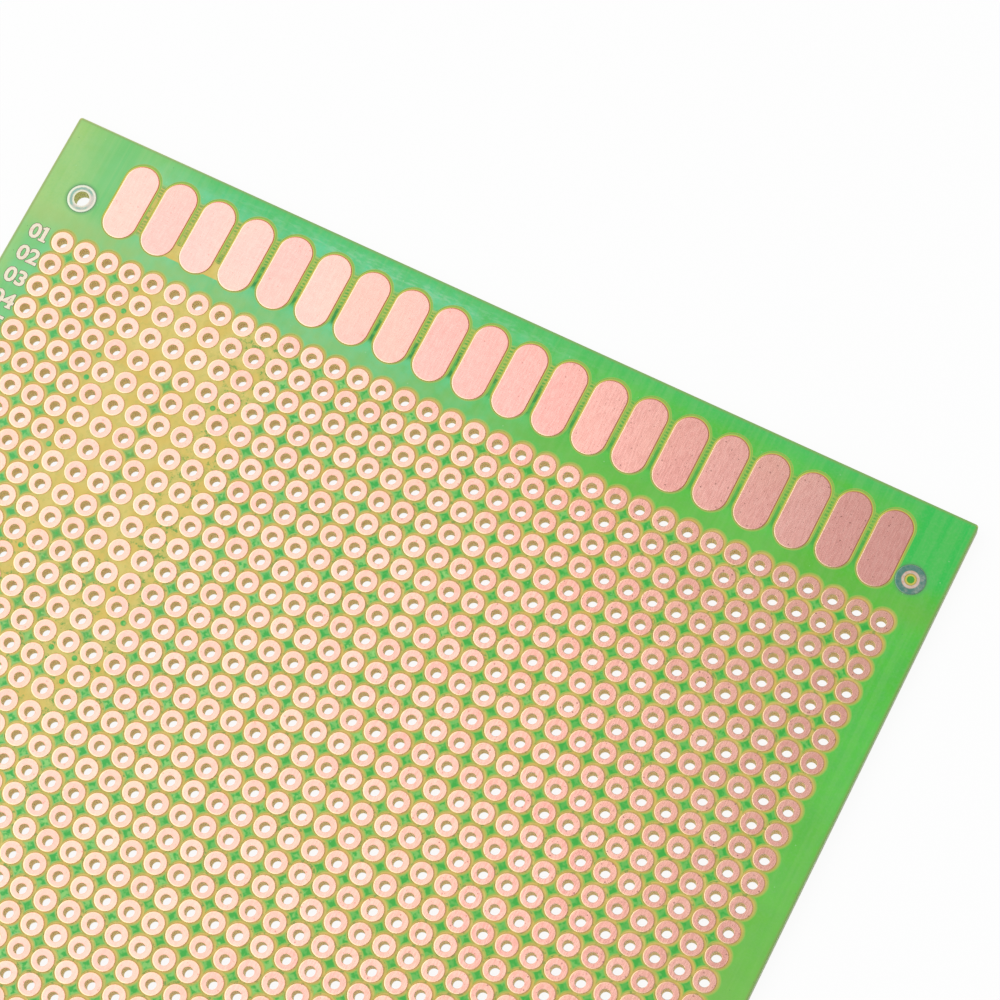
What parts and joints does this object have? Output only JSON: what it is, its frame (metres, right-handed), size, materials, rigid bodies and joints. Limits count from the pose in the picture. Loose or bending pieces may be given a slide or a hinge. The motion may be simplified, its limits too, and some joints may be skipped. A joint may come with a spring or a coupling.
{
  "type": "bare circuit board",
  "caption": "Flat square prototyping circuit board: a grid of drilled copper solder pads, a row of long edge contacts and green solder mask on one face, bare laminate on the other.",
  "frame": {"origin": "middle of the bare underside, where the board rests", "axes": "+Z out of the copper face, +Y towards the edge with the long contacts, +X towards the undrilled target"},
  "size_m": [0.098, 0.098, 0.0016],
  "materials": {
    "laminate": "cut amber resin laminate, slightly glossy faces",
    "solder_mask": "thin glossy green screen-printed coat",
    "copper": "bare brushed copper foil, satin"
  },
  "bodies": {
    "root": {"laminate": "laminate", "solder_mask": "solder_mask", "registration_ring": "copper", "target_ring": "copper", "contact_01": "copper", "contact_02": "copper", "contact_03": "copper", "contact_04": "copper", "contact_05": "copper", "contact_06": "copper", "contact_07": "copper", "contact_08": "copper", "contact_09": "copper", "contact_10": "copper", "contact_11": "copper", "contact_12": "copper", "contact_13": "copper", "contact_14": "copper", "contact_15": "copper", "contact_16": "copper", "contact_17": "copper", "contact_18": "copper", "contact_19": "copper", "contact_20": "copper", "land_column_01": "copper", "land_column_02": "copper", "land_column_03": "copper", "land_column_04": "copper", "land_column_05": "copper", "land_column_06": "copper", "land_column_07": "copper", "land_column_08": "copper", "land_column_09": "copper", "land_column_10": "copper", "land_column_11": "copper", "land_column_12": "copper", "land_column_13": "copper", "land_column_14": "copper", "land_column_15": "copper", "land_column_16": "copper", "land_column_17": "copper", "land_column_18": "copper", "land_column_19": "copper", "land_column_20": "copper", "land_column_21": "copper", "land_column_22": "copper", "land_column_23": "copper", "land_column_24": "copper", "land_column_25": "copper", "land_column_26": "copper", "land_column_27": "copper", "land_column_28": "copper", "land_column_29": "copper", "land_column_30": "copper", "land_column_31": "copper", "land_column_32": "copper", "land_column_33": "copper", "land_column_34": "copper", "land_column_35": "copper", "land_column_36": "copper"}
  },
  "joints": []
}
